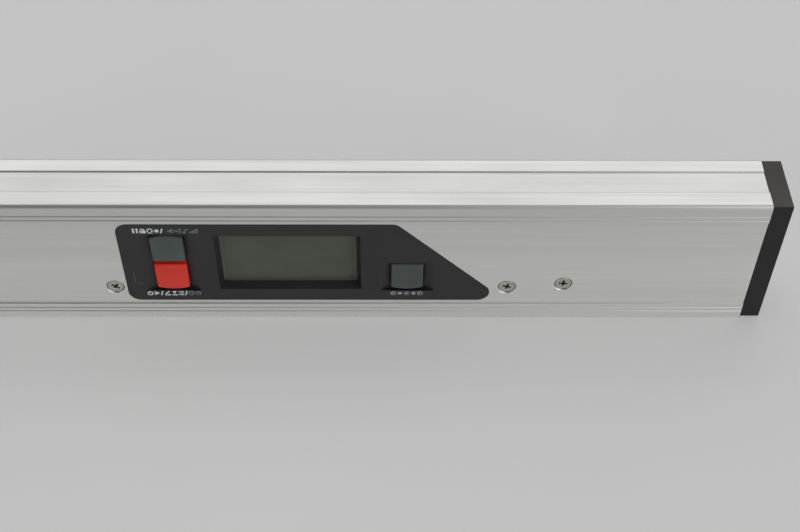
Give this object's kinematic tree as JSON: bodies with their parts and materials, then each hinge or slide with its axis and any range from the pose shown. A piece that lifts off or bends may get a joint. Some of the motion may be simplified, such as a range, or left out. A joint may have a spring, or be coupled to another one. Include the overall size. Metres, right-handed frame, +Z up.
{
  "type": "digital level",
  "caption": "Box-section aluminium beam with a built-in digital inclinometer: display, three push-buttons, end caps and a rear battery bay.",
  "frame": {"origin": "middle of the bottom measuring face", "axes": "+X along the beam, display reading left to right; +Y from the front panel to the back; +Z up"},
  "size_m": [0.4, 0.0244, 0.06],
  "materials": {
    "beam_aluminium": "extruded, satin anodised, with fine draw lines along the beam",
    "cap_plastic": "moulded black plastic, finely textured",
    "panel_plastic": "moulded black plastic, satin with a fine spark texture",
    "housing_plastic": "moulded dark grey plastic",
    "red_button": "moulded red plastic, semi-gloss",
    "grey_button": "moulded grey-green plastic, satin",
    "window": "clear moulded window",
    "lcd": "reflective segment display, blank",
    "diffuser": "frosted white plastic",
    "connector_rubber": "layered conductive rubber",
    "circuit_board": "glass-fibre board with green solder mask",
    "chip": "moulded black epoxy",
    "nickel": "bright nickel plating",
    "screw_steel": "stainless steel",
    "cell_jacket": "printed shrink film, plain",
    "lead_red": "red wire insulation",
    "lead_black": "black wire insulation"
  },
  "bodies": {
    "beam": {"beam_extrusion": "beam_aluminium", "left_end_cap": "cap_plastic", "right_end_cap": "cap_plastic", "display_bezel": "panel_plastic", "display_window": "window", "lcd_panel": "lcd", "display_frame": "housing_plastic", "backlight_guide": "diffuser", "backlight_led": "diffuser", "connector_strip_lower": "connector_rubber", "connector_strip_upper": "connector_rubber", "circuit_board": "circuit_board", "microcontroller": "chip", "tilt_sensor": "chip", "clock_crystal": "nickel", "buzzer": "chip", "battery_socket": "diffuser", "battery_plug": "diffuser", "rear_housing": "housing_plastic", "display_screw_left": "screw_steel", "display_screw_right": "screw_steel", "battery_holder_screw": "screw_steel", "battery_holder": "housing_plastic", "battery_upper": "cell_jacket", "battery_lower": "cell_jacket", "positive_contact": "nickel", "negative_contact": "nickel", "bridge_contact": "nickel", "battery_lead_red": "lead_red", "battery_lead_black": "lead_black", "hold_switch": "chip", "power_switch": "chip", "light_switch": "chip", "board_screw_1": "screw_steel", "housing_screw_1": "screw_steel", "board_screw_2": "screw_steel", "housing_screw_2": "screw_steel", "board_screw_3": "screw_steel", "housing_screw_3": "screw_steel", "board_screw_4": "screw_steel", "housing_screw_4": "screw_steel"},
    "hold_button": {"hold_button": "grey_button", "hold_switch_plunger": "housing_plastic"},
    "power_button": {"power_button": "red_button", "power_switch_plunger": "housing_plastic"},
    "light_button": {"light_button": "grey_button", "light_switch_plunger": "housing_plastic"},
    "battery_cover": {"battery_cover": "cap_plastic", "battery_cover_screw": "screw_steel"}
  },
  "joints": [
    {"name": "hold_button_press", "type": "slide", "parent": "beam", "child": "hold_button", "axis": [0, 1, 0], "range_m": [0, 0.0006], "stiffness_N_per_m": 1000},
    {"name": "power_button_press", "type": "slide", "parent": "beam", "child": "power_button", "axis": [0, 1, 0], "range_m": [0, 0.0006], "stiffness_N_per_m": 1000},
    {"name": "light_button_press", "type": "slide", "parent": "beam", "child": "light_button", "axis": [0, 1, 0], "range_m": [0, 0.0006], "stiffness_N_per_m": 1000},
    {"name": "battery_cover_lift", "type": "slide", "parent": "beam", "child": "battery_cover", "axis": [0, 1, 0], "range_m": [0, 0.03]}
  ]
}
